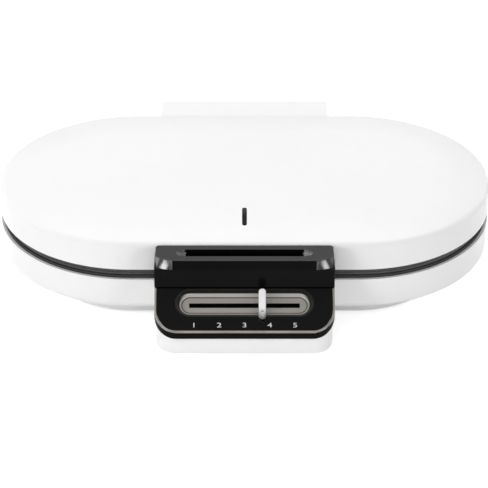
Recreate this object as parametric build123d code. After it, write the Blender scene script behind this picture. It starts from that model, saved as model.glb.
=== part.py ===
from build123d import *
import math
import os

# Double waffle maker, closed. Millimetres, +X right, +Y to the hinge, +Z up.
# It is drawn about the middle of its long plan, with the table at z = 0,
# and each piece is moved as it is saved so that the origin is under the middle of the whole.

# Plan of the two halves: a straight run closed by two half rounds
end_radius = 116.0
end_offset = 94.0

# Moulded shells
shell_wall = 2.5
fit_gap = 0.3
cut_over = 0.2
slide_gap = 0.3
pin_gap = 0.05

# Base, from the table up
foot_stand = 2.0
pedestal_radius = 76.5
pedestal_height = 20.0
underside_height = 28.5
base_edge_radius = 6.0
base_wall_height = 28.0

# Black band between the halves
frame_show = 2.3
flange_thickness = 2.2
plate_gap = 0.5
plate_inset = 4.0
upper_lip_inset = 1.0

# Lid: vertical wall, rounded shoulder, then a low crown
lid_wall_height = 20.0
shoulder_radius = 5.0
shoulder_slope = 15.0
crown_slope = 3.0
edge_run = 40.0

# Cast plates: two rounds of five hearts each
heart_count = 5
heart_wall = 3.0
lobe_distance = 61.0
lobe_angle = 14.35
heart_tip = 6.0
divider_drop = 2.4
rib_drop = 3.6
cavity_depth = 8.5
rib_pitch = 12.0
rib_width = 3.6
pan_floor = 2.6
pan_margin = 3.0

# Frames that carry the plates
frame_width = 13.2
frame_thickness = 4.5
upstand_wall = 2.5

# Heating elements and heat shields
element_diameter = 6.6
element_radius = 58.0
element_gap_half = 14.0
terminal_radius = 1.6
terminal_length = 12.0
shield_clearance = 1.3
shield_thickness = 0.8
post_radius = 4.0
post_inner_x = 40.0
post_inner_y = 30.0

# Screws
screw_radius = 1.5
screw_hole_radius = 1.9
screw_head_radius = 3.0
screw_head_height = 1.8
screw_grip = 9.0
boss_radius = 3.8
boss_inset = 8.5
boss_x = 47.0

# Handle on the lid's front
handle_half = 72.7
handle_reach = 26.7
handle_top_drop = 1.4
handle_block_height = 7.7
handle_lean = 2.0
handle_foot_inset = 1.0
handle_corner_width = 14.3
handle_corner_radius = 28.0
foot_corner_depth = 4.0
head_corner_depth = 8.0
handle_rear_corner = 3.0
handle_lift = 0.6
groove_half = 47.8
groove_end = 7.7
groove_width = 10.8
groove_depth = 6.2
groove_back = 7.2
edge_round = 0.8
apron_wall = 3.0
apron_margin = 0.6
handle_screw_x = 25.0
handle_screw_height = 10.5

# Control panel and the box under it
panel_front = 60.0
panel_flat = 28.0
panel_slope = 34.0
panel_side = 6.4
panel_drop = 1.1
panel_corner = 18.0
panel_bevel = 2.4
box_inset = 1.6
box_underside = 21.0
box_edge_round = 2.5
panel_post_inset = 12.7
panel_post_front = 20.0
window_half = 40.0
window_height = 14.0

# Scale and slider; distances down the slope are from its upper edge
scale_place = 12.7
dish_half = 55.1
dish_half_width = 11.1
dish_wall_run = 4.3
dish_hollow = 5.4
dish_cove = 9.0
dish_rim = 1.2
dish_floor = 2.5
scale_plate_thickness = 0.8
slot_half_width = 2.1
slider_rest = 14.4
slider_inset = 13.0
lever_width = 5.9
lever_length = 25.0
lever_offset = 2.7
lever_thickness = 5.8
lever_height = 7.4
lever_round = 1.2
dimple_radius = 2.0
dimple_depth = 0.5
dimple_inset = 4.0
neck_length = 5.0
neck_width = 2.4
carriage_half = 7.0
carriage_width = 10.0
carriage_thickness = 3.0
resistor_wall = 2.5

# Hinge
hinge_set_back = 18.0
hinge_pin_radius = 3.0
hinge_pin_inset = 7.0
cover_half = 75.0
cover_top_drop = 1.9
cover_reach = 20.5
cover_round = 12.0
cover_skirt = 4.0
lug_inset = 12.0
lug_width = 8.0
lug_radius = 7.5
lug_height = 20.0
ear_gap = 8.0
ear_thickness = 3.0
ear_radius = 8.0
bracket_foot_width = 20.0
bracket_foot_thickness = 2.5
bracket_height = 26.0
bracket_screw_inset = 6.5
rear_inset = 5.0
rear_depth = 24.0
rear_stand_off = 12.0

# Underside and electrical parts
cover_thickness = 2.5
foot_radius = 9.0
foot_pocket = 1.2
pocket_gap = 0.1
foot_x = 110.0
foot_inset = 29.0
rear_foot_inset = 15.0
stud_length = 11.5
stud_radius = 5.5
stud_inset = 4.5
vent_length = 30.0
vent_width = 3.0
vent_pitch = 9.0
vent_rows = 5
vent_x = 60.0
board_length = 64.0
board_width = 44.0
board_thickness = 1.6
board_standoff = 5.0
board_y = -42.0
part_offset = 16.0
relay_size = (19.0, 15.0, 15.0)
capacitor_radius = 4.0
capacitor_height = 12.0
terminal_block_size = (34.0, 18.0, 14.0)
clamp_pitch = 11.0
terminal_block_y = 44.0
sensor_radius = 5.0
sensor_place = (-62.0, -16.0)
fuse_length = 26.0
fuse_radius = 2.2
fuse_base = (34.0, 9.0, 3.0)
fuse_place = (0.0, 0.0)
gland_inset = 12.0
gland_rise = 16.0
gland_radius = 6.0
gland_flange_radius = 8.5
gland_flange = 2.0
gland_bore = 3.6

# Indicator on the lid's top
lens_length = 25.6
lens_width = 3.8
lens_place = 80.6
lens_gap = 0.1
lens_flange = 2.0
lens_depth = 2.0
holder_wall = 1.5
holder_depth = 6.5
lamp_radius = 1.4
lamp_length = 16.0

# Heights that follow
base_lip = underside_height + base_wall_height
lower_seat = base_lip + frame_show
lower_face = lower_seat + flange_thickness
upper_face = lower_face + plate_gap
upper_seat = upper_face + flange_thickness
lid_rim = upper_seat + frame_show
lid_wall_top = lid_rim + lid_wall_height
parting = (lower_face + upper_face) / 2

# The crown's two arcs and the shoulder's arc meet tangentially
crown_run = end_radius - edge_run - shoulder_radius * (1 - math.sin(math.radians(shoulder_slope)))
crown_arc = crown_run / math.sin(math.radians(crown_slope))
edge_arc = edge_run / (math.sin(math.radians(shoulder_slope)) - math.sin(math.radians(crown_slope)))
shoulder_rise = shoulder_radius * math.cos(math.radians(shoulder_slope))
edge_rise = edge_arc * (math.cos(math.radians(crown_slope)) - math.cos(math.radians(shoulder_slope)))
crown_rise = crown_arc * (1 - math.cos(math.radians(crown_slope)))
lid_top = lid_wall_top + shoulder_rise + edge_rise + crown_rise

# Lobes reach to half a wall from the line between two hearts
lobe_share = math.radians(180 / heart_count - lobe_angle)
lobe_radius = lobe_distance * math.sin(lobe_share) - heart_wall / 2

# Places that follow, measured from a plate's own face
shell_inner = end_radius - shell_wall
frame_outer = shell_inner - fit_gap
frame_opening = frame_outer - frame_width
pan_back = cavity_depth + pan_floor
shield_face = pan_back + element_diameter + shield_clearance
frame_back = flange_thickness + frame_thickness
boss_ring = end_radius - boss_inset
stud_ring = pedestal_radius - shell_wall - stud_inset
foot_y = pedestal_radius - foot_inset

# Control panel plane and the panel's edges
panel_top = lid_rim - panel_drop
slope_top_y = -(end_radius + panel_flat)
front_y = -(end_radius + panel_front)
slope_drop = (panel_front - panel_flat) * math.tan(math.radians(panel_slope))
slope_run_on = panel_front * math.tan(math.radians(panel_slope))
panel_half = handle_half + apron_margin
panel_post_x = handle_half - panel_post_inset
slope_plane = Plane(
    origin=(0, slope_top_y, panel_top),
    x_dir=(1, 0, 0),
    z_dir=(0, -math.sin(math.radians(panel_slope)), math.cos(math.radians(panel_slope))),
)
slider_end = dish_half - slider_inset
slot_half = slider_end + neck_length / 2 + slide_gap
dish_depth = dish_hollow + dish_floor
carriage_top = -dish_depth - slide_gap
resistor_half = slider_end + carriage_half + slide_gap

# Hinge axis and the rear of the whole
hinge_y = end_radius + hinge_set_back
hinge_z = parting
rear_face = end_radius + rear_stand_off / 2
rear_y = hinge_y + cover_reach
rear_half = cover_half - rear_inset
rear_foot_x = rear_half - rear_foot_inset
rear_foot_y = rear_face - rear_depth / 2
hinge_pin_half = cover_half - hinge_pin_inset
lug_inner_x = cover_half - lug_inset - lug_width
lug_middle_x = lug_inner_x + lug_width / 2
lug_screw_z = hinge_z + lug_height - boss_radius
ear_inner_x = lug_inner_x - ear_gap - ear_thickness
gland_place = (gland_inset - rear_half, foot_stand + gland_rise)
origin_shift = -(front_y + rear_y) / 2


def save(shape, name):
    """Write one piece, moved so that the origin is under the middle of the whole."""
    export_step(Pos(0, origin_shift, 0) * shape, f"parts/{name}.step")


def group(solids):
    """Several separate solids as one piece."""
    return Compound(children=[solid for item in solids for solid in item.solids()])


def block(x_range, y_range, z_range):
    """Box between two corners, given as low and high values."""
    size = [high - low for low, high in (x_range, y_range, z_range)]
    middle = [(high + low) / 2 for low, high in (x_range, y_range, z_range)]
    return Pos(*middle) * Box(*size)


def rod(radius, start, length, along=(0, 0, 1)):
    """Round bar from a start point."""
    plane = Plane(origin=start, z_dir=along)
    return extrude(plane * Circle(radius), length)


def racetrack(section, half_run):
    """Solid from a half section (distance out, height), with a straight run and two round ends."""
    across = Plane(origin=(0, 0, 0), x_dir=(0, -1, 0), z_dir=(-1, 0, 0)) * section
    end_axis = Axis((half_run, 0, 0), (0, 0, 1))
    end = revolve(Pos(half_run, 0, 0) * across, axis=end_axis, revolution_arc=180)
    side = extrude(across, half_run, both=True)
    turn = Rot(0, 0, 180)
    return (side + turn * side + end + turn * end).clean()


def band(inner, outer, low, high):
    """Rectangle in a half section, as a face."""
    return make_face(Polyline((inner, low), (outer, low), (outer, high), (inner, high), close=True))


def ring_places(ring, straight_x):
    """Six places on a racetrack line: two on each straight and one at each end."""
    places = [(side * straight_x, end * ring) for side in (-1, 1) for end in (-1, 1)]
    return places + [(side * (end_offset + ring), 0) for side in (-1, 1)]


def screw(place, along, grip):
    """Screw with its head's underside at the place and its shank along the given direction."""
    back = Vector(*place) - Vector(*along) * screw_head_height
    return rod(screw_head_radius, back, screw_head_height, along) + rod(screw_radius, place, grip, along)


# Halves mirrored about the parting plane

def upper(piece):
    """Place a half's piece, drawn from its plate's face, in the lid."""
    return Pos(0, 0, upper_face) * piece


def lower(piece):
    """Place a half's piece, drawn from its plate's face, in the base."""
    return Pos(0, 0, lower_face) * mirror(piece, about=Plane.XY)


# Lid shell

def lid_section(inset, bottom):
    """Half section of the lid's form, drawn in by the inset."""
    crown = JernArc((0, lid_top - inset), (1, 0), crown_arc - inset, -crown_slope)
    edge = JernArc(crown @ 1, crown % 1, edge_arc - inset, crown_slope - shoulder_slope)
    shoulder = JernArc(edge @ 1, edge % 1, shoulder_radius - inset, shoulder_slope - 90)
    wall_end = (end_radius - inset, bottom)
    sides = Polyline(shoulder @ 1, wall_end, (0, bottom), (0, lid_top - inset))
    return make_face(crown + edge + shoulder + sides)


def lens_slot(length, width, low, high):
    """Upright pill that the indicator fills, long in Y."""
    outline = Rot(0, 0, 90) * SlotOverall(length, width)
    return extrude(Pos(0, -lens_place, low) * outline, high - low)


def make_lid_shell(form, hollow):
    """White lid with its screw posts, lens slot and screw holes."""
    shell = form - hollow
    seat = upper_face + frame_back
    for x, y in ring_places(boss_ring, boss_x):
        post = rod(boss_radius, (x, y, seat), lid_top - seat) & form
        shell += post
        shell -= rod(screw_radius, (x, y, seat), screw_grip)
    shell -= lens_slot(lens_length + 2 * lens_gap, lens_width + 2 * lens_gap, lid_rim, lid_top)
    for side in (-1, 1):
        front = (side * handle_screw_x, -shell_inner, lid_rim + handle_screw_height)
        shell -= rod(screw_hole_radius, front, 2 * shell_wall, (0, -1, 0))
        back = (side * lug_middle_x, shell_inner, lug_screw_z)
        shell -= rod(screw_hole_radius, back, 2 * shell_wall, (0, 1, 0))
    return shell


# Frames, plates, elements and shields, drawn once for both halves

def make_frame(lip_radius):
    """Black ring that seats the plate's flange and holds up the heat shield, with a lip that shows."""
    seat = band(frame_opening, frame_outer, flange_thickness, frame_back)
    lip = band(frame_opening, lip_radius, flange_thickness, flange_thickness + frame_show)
    upstand = band(frame_opening, frame_opening + upstand_wall, frame_back, shield_face)
    frame = racetrack(seat + lip + upstand, end_offset)
    for x, y in ring_places(boss_ring, boss_x):
        frame -= rod(screw_hole_radius, (x, y, 0), frame_back)
        frame -= rod(screw_head_radius + fit_gap, (x, y, 0), flange_thickness + screw_head_height)
    return frame


def make_frame_screws():
    """Screws through the frame, under the plate's flange."""
    head_seat = flange_thickness + screw_head_height
    places = ring_places(boss_ring, boss_x)
    grip = frame_thickness - screw_head_height + screw_grip
    return group([screw((x, y, head_seat), (0, 0, 1), grip) for x, y in places])


def teardrop(tip, centre, radius):
    """Circle joined to a tip by its two tangents."""
    to_centre = Vector(*centre) - Vector(*tip)
    spread = math.degrees(math.asin(radius / to_centre.length))
    reach = math.sqrt(to_centre.length ** 2 - radius ** 2)
    along = to_centre.normalized() * reach
    touches = [Vector(*tip) + along.rotate(Axis.Z, turn) for turn in (-spread, spread)]
    wedge = make_face(Polyline(tip, *touches, close=True))
    return wedge + Pos(*centre) * Circle(radius)


def heart(grow):
    """Heart with its point at the round's centre and its axis along +Y, grown outwards."""
    lean = math.radians(lobe_angle)
    tip = (0, heart_tip, 0)
    lobes = [(side * lobe_distance * math.sin(lean), lobe_distance * math.cos(lean), 0) for side in (-1, 1)]
    return teardrop(tip, lobes[0], lobe_radius + grow) + teardrop(tip, lobes[1], lobe_radius + grow)


def heart_cells():
    """Square cells of one heart, between its ribs."""
    reach = math.ceil((lobe_distance + lobe_radius) / rib_pitch)
    cell = Rectangle(rib_pitch - rib_width, rib_pitch - rib_width)
    across = [column * rib_pitch for column in range(-reach, reach + 1)]
    up = [(row + 0.5) * rib_pitch for row in range(reach)]
    return Sketch() + [Pos(x, y) * cell for x in across for y in up]


def heart_cutter():
    """One heart's hollow: open down to the ribs, then its cells down to the floor."""
    outline = heart(0)
    cells = heart_cells() & outline
    lobes = extrude(heart(heart_wall / 2 + cut_over), divider_drop)
    hollow = extrude(outline, rib_drop)
    return [lobes, hollow] + [extrude(cell, cavity_depth) for cell in cells.faces()]


def make_plate():
    """Cast plate: flange, two round pans with heart hollows, and the posts on its back."""
    flange = racetrack(band(0, end_radius - plate_inset, 0, flange_thickness), end_offset)
    pan_radius = lobe_distance + lobe_radius + pan_margin
    one_heart = heart_cutter()
    plate = flange
    for side in (-1, 1):
        plate += rod(pan_radius, (side * end_offset, 0, 0), pan_back)
    for x, y in plate_post_places():
        plate += rod(post_radius, (x, y, pan_back), shield_face - pan_back)
        plate -= rod(screw_radius, (x, y, pan_back), shield_face - pan_back)
    cutters = []
    for side in (-1, 1):
        cutters.append(rod(lobe_distance, (side * end_offset, 0, 0), divider_drop))
        for index in range(heart_count):
            move = Pos(side * end_offset, 0, 0) * Rot(0, 0, index * 360 / heart_count)
            cutters += [move * cutter for cutter in one_heart]
    return plate - cutters


def plate_post_places():
    """Where the plate's posts meet the heat shield."""
    centres = [(side * end_offset, 0) for side in (-1, 1)]
    return centres + [(side * post_inner_x, end * post_inner_y) for side in (-1, 1) for end in (-1, 1)]


def make_element():
    """Bent tubular heating element with its two terminal pins, lying on the plate's back."""
    level = pan_back + element_diameter / 2
    ends = [(side * element_gap_half, element_radius, level) for side in (1, -1)]
    corners = [(side * end_offset, element_radius, level) for side in (1, -1)]
    fronts = [(side * end_offset, -element_radius, level) for side in (1, -1)]
    tips = [(side * (end_offset + element_radius), 0, level) for side in (1, -1)]
    path = Line(ends[0], corners[0]) + ThreePointArc(corners[0], tips[0], fronts[0])
    path += Line(fronts[0], fronts[1]) + ThreePointArc(fronts[1], tips[1], corners[1])
    path += Line(corners[1], ends[1])
    profile = Plane(origin=ends[0], z_dir=(1, 0, 0)) * Circle(element_diameter / 2)
    element = sweep(profile, path=path)
    for side, end in zip((-1, 1), ends):
        element += rod(terminal_radius, end, terminal_length, (side, 0, 0))
    return element


def make_shield():
    """Thin steel shield that clamps the plate to its frame."""
    sheet = band(0, frame_opening + upstand_wall, shield_face, shield_face + shield_thickness)
    shield = racetrack(sheet, end_offset)
    for x, y in plate_post_places():
        shield -= rod(screw_hole_radius, (x, y, shield_face), shield_thickness)
    return shield


def make_shield_screws():
    """Screws through the heat shield into the plate's posts."""
    back = shield_face + shield_thickness
    grip = shield_thickness + shield_face - pan_back
    return group([screw((x, y, back), (0, 0, -1), grip) for x, y in plate_post_places()])


# Handle

def handle_plan(half, front, corner_depth):
    """Plan of the upper block, with small corners at the lid and two bowed corners in front."""
    flat = handle_half - handle_corner_width
    side_y = front + corner_depth
    left = RadiusArc((-half, side_y), (-flat, front), -handle_corner_radius)
    right = RadiusArc((flat, front), (half, side_y), -handle_corner_radius)
    rear = Polyline((half, side_y), (half, -end_radius), (-half, -end_radius), (-half, side_y))
    plan = make_face(left + Line((-flat, front), (flat, front)) + right + rear)
    return fillet(plan.vertices().group_by(Axis.Y)[-1], handle_rear_corner)


def make_handle():
    """Upper block of the handle, leaning back from the apron, with the finger groove in its top."""
    top = lid_wall_top + shoulder_rise - handle_top_drop
    front = -(end_radius + handle_reach)
    foot_plan = handle_plan(handle_half - handle_foot_inset, front, foot_corner_depth)
    head_plan = handle_plan(handle_half, front + handle_lean, head_corner_depth)
    form = loft([Pos(0, 0, top - handle_block_height) * foot_plan, Pos(0, 0, top) * head_plan], ruled=True)
    form = fillet(form.faces().sort_by(Axis.Z)[-1].edges(), edge_round)
    middle = -(end_radius + groove_back + groove_width / 2)
    groove = block((-groove_half, groove_half), (middle - groove_width / 2, middle + groove_width / 2),
                   (top - groove_depth, top))
    end = scale(Sphere(1), by=(groove_end, groove_width / 2, groove_depth))
    return form - groove - [Pos(side * groove_half, middle, top) * end for side in (-1, 1)]


def make_apron():
    """Front plate of the handle, hollow behind."""
    top = lid_wall_top + shoulder_rise - handle_top_drop - handle_block_height
    low = lid_rim - handle_lift
    form = block((-panel_half, panel_half), (-(end_radius + handle_reach), -end_radius), (low, top))
    form = fillet(form.edges().filter_by(Axis.Z).group_by(Axis.Y)[0], edge_round)
    inside_x = panel_half - apron_wall
    front = -(end_radius + handle_reach - apron_wall)
    hollow = block((-inside_x, inside_x), (front, -end_radius), (low + apron_wall, top))
    apron = form - hollow
    for side in (-1, 1):
        start = (side * handle_screw_x, -end_radius, lid_rim + handle_screw_height)
        post = rod(boss_radius, start, handle_reach - apron_wall, (0, -1, 0))
        web = block(
            (side * handle_screw_x - apron_wall / 2, side * handle_screw_x + apron_wall / 2),
            (front, -end_radius), (low, lid_rim + handle_screw_height),
        )
        apron += post + web
        apron -= rod(screw_radius, start, screw_grip, (0, -1, 0))
    return apron


def make_handle_screws():
    """Screws from inside the lid into the apron."""
    height = lid_rim + handle_screw_height
    places = [(side * handle_screw_x, -shell_inner, height) for side in (-1, 1)]
    return group([screw(place, (0, -1, 0), shell_wall + screw_grip) for place in places])


# Hinge

def hinge_bar(radius, x_low, x_high):
    """Round bar along the hinge axis."""
    return rod(radius, (x_low, hinge_y, hinge_z), x_high - x_low, (1, 0, 0))


def side_profile(points, x_low, x_high):
    """Prism along X from points given as (y, z)."""
    outline = make_face(Polyline(*[(0, y, z) for y, z in points], close=True))
    return Pos(x_low, 0, 0) * extrude(outline, x_high - x_low, dir=(1, 0, 0))


def cover_block(inset):
    """Form of the hinge cover, drawn in by the inset on its top, rear and sides."""
    half = cover_half - inset
    top = lid_wall_top + shoulder_rise - cover_top_drop - inset
    rear = rear_y - inset
    form = block((-half, half), (end_radius, rear), (hinge_z - cover_skirt, top))
    rear_top = form.edges().filter_by(Axis.X).group_by(Axis.Z)[-1].sort_by(Axis.Y)[-1]
    return fillet(rear_top, cover_round - inset)


def make_hinge_cover():
    """White rear cover of the lid, with the two lugs that turn on the hinge pin."""
    under = side_profile(
        [(end_radius, hinge_z - 2 * cover_skirt), (end_radius, lid_rim), (hinge_y, hinge_z - cover_skirt),
         (hinge_y, hinge_z - 2 * cover_skirt)],
        -cover_half, cover_half,
    )
    inside = cover_block(shell_wall) + Pos(0, 0, -cover_skirt) * cover_block(shell_wall)
    cover = cover_block(0) - under - inside
    for side in (-1, 1):
        x_low = side * lug_middle_x - lug_width / 2
        x_high = side * lug_middle_x + lug_width / 2
        top = hinge_z + lug_height
        strut = side_profile(
            [(end_radius, top - 2 * boss_radius), (end_radius, top), (hinge_y + lug_radius, top),
             (hinge_y + lug_radius, hinge_z), (hinge_y - lug_radius, hinge_z)],
            x_low, x_high,
        )
        web = block((x_low, x_high), (hinge_y - lug_radius, hinge_y + lug_radius),
                    (top, lid_wall_top + shoulder_rise - cover_top_drop - shell_wall))
        cover += strut + web + hinge_bar(lug_radius, x_low, x_high)
        cover -= hinge_bar(hinge_pin_radius + pin_gap, x_low, x_high)
        start = (side * lug_middle_x, end_radius, lug_screw_z)
        cover -= rod(screw_radius, start, screw_grip, (0, 1, 0))
    return cover


def make_hinge_cover_screws():
    """Screws from inside the lid into the cover's lugs."""
    places = [(side * lug_middle_x, shell_inner, lug_screw_z) for side in (-1, 1)]
    return group([screw(place, (0, 1, 0), shell_wall + screw_grip) for place in places])


def bracket_screw_places(side):
    """Two screws up the foot of one bracket."""
    middle = side * (ear_inner_x - bracket_foot_width / 2)
    back = rear_face + bracket_foot_thickness
    heights = (base_lip - bracket_height + bracket_screw_inset, base_lip - bracket_screw_inset)
    return [(middle, back, height) for height in heights]


def make_bracket(side):
    """Steel bracket: a foot on the base's rear face and an ear that holds the hinge pin."""
    ears = sorted((side * ear_inner_x, side * (ear_inner_x + ear_thickness)))
    feet = sorted((side * (ear_inner_x - bracket_foot_width), side * (ear_inner_x + ear_thickness)))
    foot_back = rear_face + bracket_foot_thickness
    foot = block(feet, (rear_face, foot_back), (base_lip - bracket_height, base_lip))
    arm = side_profile(
        [(rear_face, base_lip - ear_radius), (rear_face, base_lip), (hinge_y - ear_radius, hinge_z),
         (hinge_y, hinge_z - ear_radius)],
        *ears,
    )
    bracket = foot + arm + hinge_bar(ear_radius, *ears)
    bracket -= hinge_bar(hinge_pin_radius, *ears)
    for x, y, z in bracket_screw_places(side):
        bracket -= rod(screw_hole_radius, (x, y, z), bracket_foot_thickness, (0, -1, 0))
    return bracket


def make_bracket_screws():
    """Screws that hold both brackets to the base."""
    places = bracket_screw_places(-1) + bracket_screw_places(1)
    return group([screw(place, (0, -1, 0), bracket_foot_thickness + screw_grip) for place in places])


# Base

def base_section(inset, low, high):
    """Half section of the base's form, drawn in by the inset."""
    wall = end_radius - inset
    floor = underside_height + inset
    step = foot_stand + pedestal_height + inset
    corner = base_edge_radius - inset
    edge = JernArc((wall - corner, floor), (1, 0), corner, 90)
    walls = Polyline(edge @ 1, (wall, high), (0, high), (0, low), (pedestal_radius - inset, low),
                     (pedestal_radius - inset, step), edge @ 0)
    return make_face(edge + walls)


def panel_plan(inset, rear, low, high):
    """Plan of the control box, square at the body and rounded in front."""
    half = panel_half - inset
    form = block((-half, half), (front_y + inset, rear), (low, high))
    fronts = form.edges().filter_by(Axis.Z).group_by(Axis.Y)[0]
    return fillet(fronts, panel_corner - inset)


def under_slope(drop, rear):
    """Everything under the panel's upper face, lowered by the drop."""
    top = panel_top - drop
    beyond = front_y - panel_front
    return side_profile(
        [(rear, 0), (rear, top), (slope_top_y, top), (beyond, top - slope_drop - slope_run_on), (beyond, 0)],
        -end_radius, end_radius,
    )


def make_panel():
    """Black control panel, bevelled along its front and sides, with the dish's cut-out."""
    rear = -end_radius
    form = panel_plan(0, rear, 0, panel_top) & under_slope(0, rear)
    panel = form - under_slope(panel_side, rear)
    out_of_slope = Axis(slope_plane.origin, slope_plane.z_dir)
    slope_face = panel.faces().filter_by(slope_plane).sort_by(out_of_slope)[-1]
    outer_edges = slope_face.edges().sort_by(Axis.Y)[:-1]
    panel = fillet(outer_edges, panel_bevel)
    cut = racetrack(band(0, dish_half_width + dish_rim, -dish_depth, panel_side), dish_run())
    panel -= on_scale(cut)
    for side in (-1, 1):
        post_y = front_y + panel_post_front
        base = box_underside + shell_wall
        post = rod(boss_radius, (side * panel_post_x, post_y, base), panel_top - base)
        panel += post & under_slope(panel_side / 2, rear)
        panel -= rod(screw_radius, (side * panel_post_x, post_y, base), screw_grip)
    return panel


def make_panel_screws():
    """Screws from under the control box into the panel's posts."""
    seat = box_underside + screw_head_height
    places = [(side * panel_post_x, front_y + panel_post_front, seat) for side in (-1, 1)]
    return group([screw(place, (0, 0, 1), shell_wall - screw_head_height + screw_grip) for place in places])


def dish_run():
    """Half length of the dish's straight sides."""
    return dish_half - dish_half_width


def on_scale(piece):
    """Place a piece drawn about the scale's middle, with +Z out of the panel."""
    return slope_plane * Pos(0, -scale_place, 0) * piece


def lever_slot(low, high):
    """Straight slot that the slider's neck runs in."""
    return block((-slot_half, slot_half), (-slot_half_width, slot_half_width), (low, high))


def make_dish():
    """Grey scale dish with coved sides, set flush in the panel."""
    lip = dish_half_width
    floor_edge = lip - dish_wall_run
    outside = lip + dish_rim
    cove = RadiusArc((floor_edge, -dish_hollow), (lip, 0), -dish_cove)
    sides = Polyline((lip, 0), (outside, 0), (outside, -dish_depth), (0, -dish_depth), (0, -dish_hollow),
                     (floor_edge, -dish_hollow))
    dish = racetrack(make_face(cove + sides), dish_run())
    plate_low = -dish_hollow - scale_plate_thickness
    pocket = racetrack(band(0, floor_edge - fit_gap, plate_low, -dish_hollow), dish_run())
    return on_scale(dish - pocket - lever_slot(-dish_depth, 0))


def make_scale_plate():
    """Thin oval plate in the dish's floor, slotted for the slider."""
    edge = dish_half_width - dish_wall_run - fit_gap
    low = -dish_hollow - scale_plate_thickness
    plate = racetrack(band(0, edge, low, -dish_hollow), dish_run())
    return on_scale(plate - lever_slot(low, 0))


def make_lever():
    """Rounded finger bar of the slider on its neck, with a small dimple near its front end."""
    low = lever_height - lever_thickness
    bar_place = Pos(0, -lever_offset, low) * Rot(0, 0, 90)
    bar = extrude(bar_place * SlotOverall(lever_length, lever_width), lever_thickness)
    bar = fillet(bar.faces().sort_by(Axis.Z)[-1].edges(), lever_round)
    dimple_y = dimple_inset - lever_offset - lever_length / 2
    bar -= Pos(0, dimple_y, lever_height - dimple_depth + dimple_radius) * Sphere(dimple_radius)
    foot = carriage_top - carriage_thickness / 2
    neck = block((-neck_length / 2, neck_length / 2), (-neck_width / 2, neck_width / 2), (foot, low))
    return on_scale(Pos(slider_rest, 0, 0) * (bar + neck))


def make_carriage():
    """Slider carriage with the pocket that grips the lever's neck."""
    low = carriage_top - carriage_thickness
    half_width = carriage_width / 2
    body = block((-carriage_half, carriage_half), (-half_width, half_width), (low, carriage_top))
    pocket = block((-neck_length / 2, neck_length / 2), (-neck_width / 2, neck_width / 2),
                   (carriage_top - carriage_thickness / 2, carriage_top))
    return on_scale(Pos(slider_rest, 0, 0) * (body - pocket))


def make_slide_resistor():
    """Slide resistor under the dish, whose channel guides the carriage."""
    wide = carriage_width / 2 + slide_gap
    floor = carriage_top - carriage_thickness - slide_gap
    body = block((-resistor_half - resistor_wall, resistor_half + resistor_wall),
                 (-wide - resistor_wall, wide + resistor_wall), (floor - resistor_wall, -dish_depth))
    channel = block((-resistor_half, resistor_half), (-wide, wide), (floor, -dish_depth))
    return on_scale(body - channel)


def make_base_shell():
    """White base: body, control box in front and hinge block behind."""
    body = racetrack(base_section(0, foot_stand, base_lip), end_offset)
    body_inside = racetrack(base_section(shell_wall, 0, lid_rim), end_offset)
    wall_middle = -(end_radius - shell_wall / 2)
    box = panel_plan(box_inset, wall_middle, box_underside, panel_top) & under_slope(panel_side, wall_middle)
    box = round_box_foot(box)
    box_inside = panel_plan(box_inset + shell_wall, -end_radius, box_underside + shell_wall, panel_top)
    rear_low = rear_face - rear_depth
    rear = block((-rear_half, rear_half), (rear_low, rear_face), (foot_stand, base_lip))
    rear_in = rear_half - shell_wall
    rear_inside = block((-rear_in, rear_in), (rear_low + shell_wall, rear_face - shell_wall),
                        (foot_stand + shell_wall, base_lip - shell_wall))
    form = body + box + rear
    shell = form - body_inside - box_inside - rear_inside
    window_low = underside_height + base_edge_radius
    shell -= block((-window_half, window_half), (-end_radius, -shell_inner),
                   (window_low, window_low + window_height))
    shell += base_posts(form)
    return shell - base_holes()


def round_box_foot(box):
    """Round the lower front edge of the control box."""
    lowest = box.faces().sort_by(Axis.Z)[0].edges()
    return fillet(lowest.sort_by(Axis.Y)[:-1], box_edge_round)


def base_posts(form):
    """Posts for the frame's screws and studs for the underside cover's screws."""
    top = lower_face - frame_back
    posts = [rod(boss_radius, (x, y, 0), top) & form for x, y in ring_places(boss_ring, boss_x)]
    low = foot_stand + cover_thickness
    posts += [rod(stud_radius, (x, y, low), stud_length) & form for x, y in ring_places(stud_ring, boss_x)]
    return posts


def base_holes():
    """Screw holes, foot pockets and the cord gland's hole."""
    top = lower_face - frame_back
    down = (0, 0, -1)
    holes = [rod(screw_radius, (x, y, top), screw_grip, down) for x, y in ring_places(boss_ring, boss_x)]
    low = foot_stand + cover_thickness
    holes += [rod(screw_radius, (x, y, low), screw_grip) for x, y in ring_places(stud_ring, boss_x)]
    for side in (-1, 1):
        post = (side * panel_post_x, front_y + panel_post_front, box_underside)
        holes.append(rod(screw_hole_radius, post, shell_wall))
        holes.append(rod(screw_head_radius + fit_gap, post, screw_head_height))
        foot = (side * rear_foot_x, rear_foot_y, foot_stand)
        holes.append(rod(foot_radius + pocket_gap, foot, foot_pocket))
        for x, y, z in bracket_screw_places(side):
            holes.append(rod(screw_radius, (x, rear_face, z), screw_grip, (0, -1, 0)))
    gland_x, gland_z = gland_place
    holes.append(rod(gland_radius, (gland_x, rear_face, gland_z), shell_wall, (0, -1, 0)))
    return holes


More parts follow.
